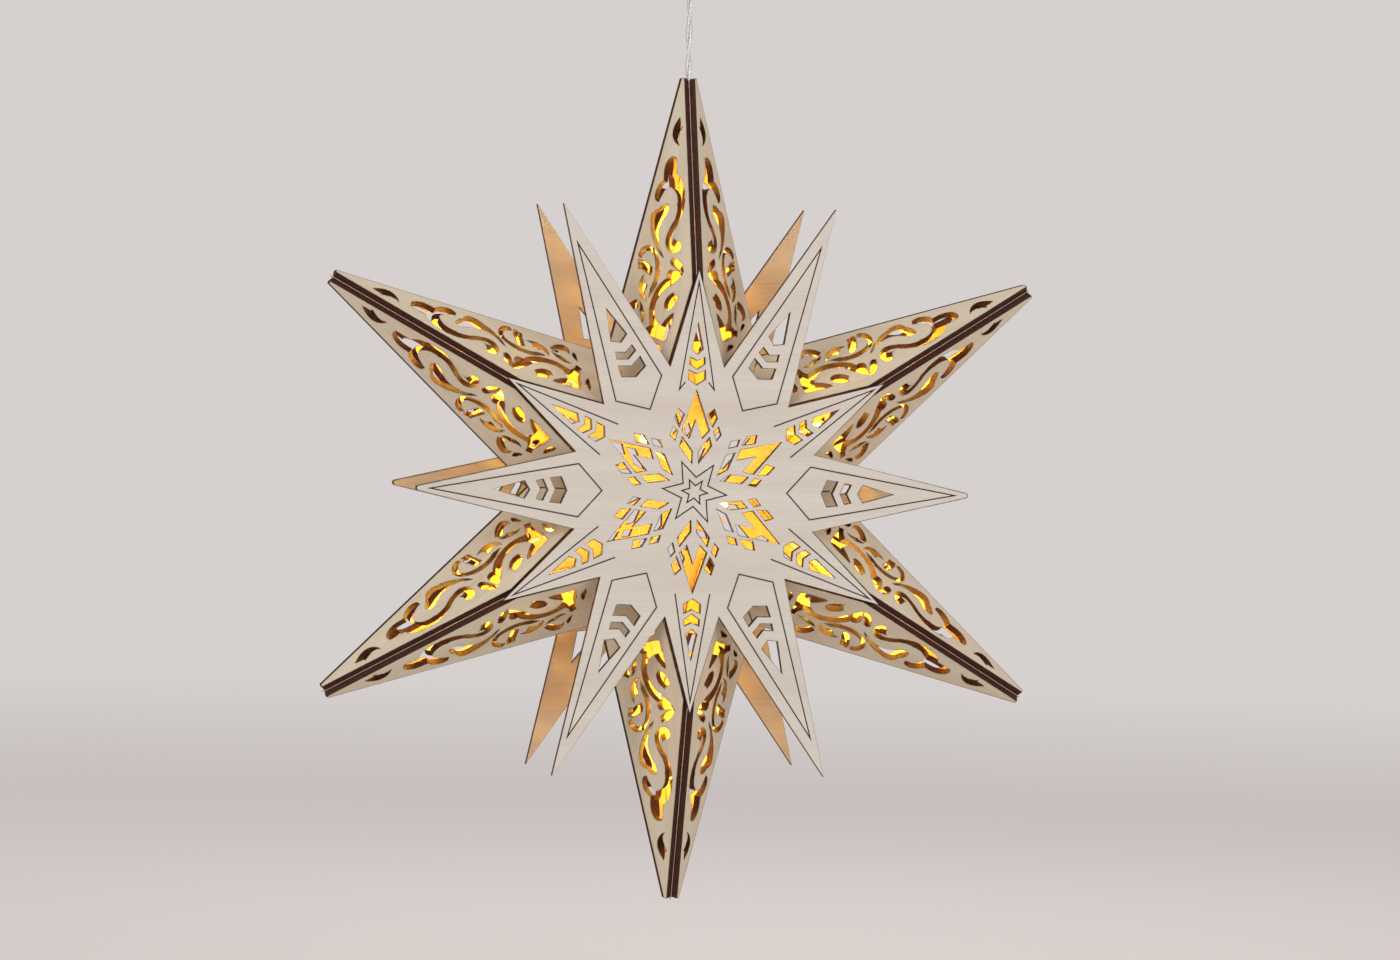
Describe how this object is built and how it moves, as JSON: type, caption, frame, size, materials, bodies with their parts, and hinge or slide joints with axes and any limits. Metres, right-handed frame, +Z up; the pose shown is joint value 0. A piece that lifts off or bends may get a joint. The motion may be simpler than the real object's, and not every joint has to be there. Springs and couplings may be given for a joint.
{
  "type": "illuminated hanging star",
  "caption": "Hollow six-pointed star lantern of pierced plywood panels, snowflake plates front and back, LED string inside, hung by its twisted lead from a battery box.",
  "frame": {"origin": "centre of the hole in the battery box's hanging eye, halfway through its thickness", "axes": "+Z up, against the hanging star's weight; the star's front snowflake faces -Y; +X to the right as seen from the front"},
  "size_m": [0.3764, 0.0772, 0.581],
  "materials": {
    "panel_plywood": "bare laser-cut plywood, matt, with burnt brown edges",
    "snowflake_plywood": "bare laser-cut plywood, matt, with burnt brown edges and engraved lines",
    "clear_glue": "clear hot glue, glossy",
    "clear_wire": "clear insulation over silver strands, glossy",
    "clear_sleeve": "clear shrink sleeve, glossy",
    "led_lens": "warm white LED lens, polished",
    "clear_lead": "clear insulation over silver strands, glossy",
    "clear_relief": "soft clear plastic, satin",
    "box_plastic": "off-white moulded plastic, fine matt",
    "cell_steel": "plain dark sleeve on steel, gloss",
    "contact_metal": "bright nickel plate",
    "switch_plastic": "black moulded plastic, matt",
    "resistor_body": "painted body, satin"
  },
  "bodies": {
    "battery_box": {"battery_case": "box_plastic", "battery_cells": "cell_steel", "cell_springs": "contact_metal", "contact_plates": "contact_metal", "switch_body": "switch_plastic", "resistor": "resistor_body", "strain_relief": "clear_relief", "lead": "clear_lead", "lead_knot": "clear_lead"},
    "star": {"panel_top_front_left": "panel_plywood", "panel_top_front_right": "panel_plywood", "panel_top_back_left": "panel_plywood", "panel_top_back_right": "panel_plywood", "panel_upper_right_front_left": "panel_plywood", "panel_upper_right_front_right": "panel_plywood", "panel_upper_right_back_left": "panel_plywood", "panel_upper_right_back_right": "panel_plywood", "panel_lower_right_front_left": "panel_plywood", "panel_lower_right_front_right": "panel_plywood", "panel_lower_right_back_left": "panel_plywood", "panel_lower_right_back_right": "panel_plywood", "panel_bottom_front_left": "panel_plywood", "panel_bottom_front_right": "panel_plywood", "panel_bottom_back_left": "panel_plywood", "panel_bottom_back_right": "panel_plywood", "panel_lower_left_front_left": "panel_plywood", "panel_lower_left_front_right": "panel_plywood", "panel_lower_left_back_left": "panel_plywood", "panel_lower_left_back_right": "panel_plywood", "panel_upper_left_front_left": "panel_plywood", "panel_upper_left_front_right": "panel_plywood", "panel_upper_left_back_left": "panel_plywood", "panel_upper_left_back_right": "panel_plywood", "snowflake_front": "snowflake_plywood", "snowflake_back": "snowflake_plywood", "ridge_glue": "clear_glue", "led_wire": "clear_wire", "led_sleeves": "clear_sleeve", "led_bulbs": "led_lens"},
    "cover": {"battery_cover": "box_plastic"},
    "switch": {"switch_knob": "switch_plastic"}
  },
  "joints": [
    {"name": "star_turn", "type": "hinge", "parent": "battery_box", "child": "star", "pos_m": [0, 0, -0.144], "axis": [0, 0, 1], "range_deg": [-180, 180]},
    {"name": "cover_slide", "type": "slide", "parent": "battery_box", "child": "cover", "axis": [0, 0, -1], "range_m": [0, 0.06]},
    {"name": "switch_slide", "type": "slide", "parent": "battery_box", "child": "switch", "axis": [0, 0, 1], "range_m": [0, 0.003]}
  ]
}
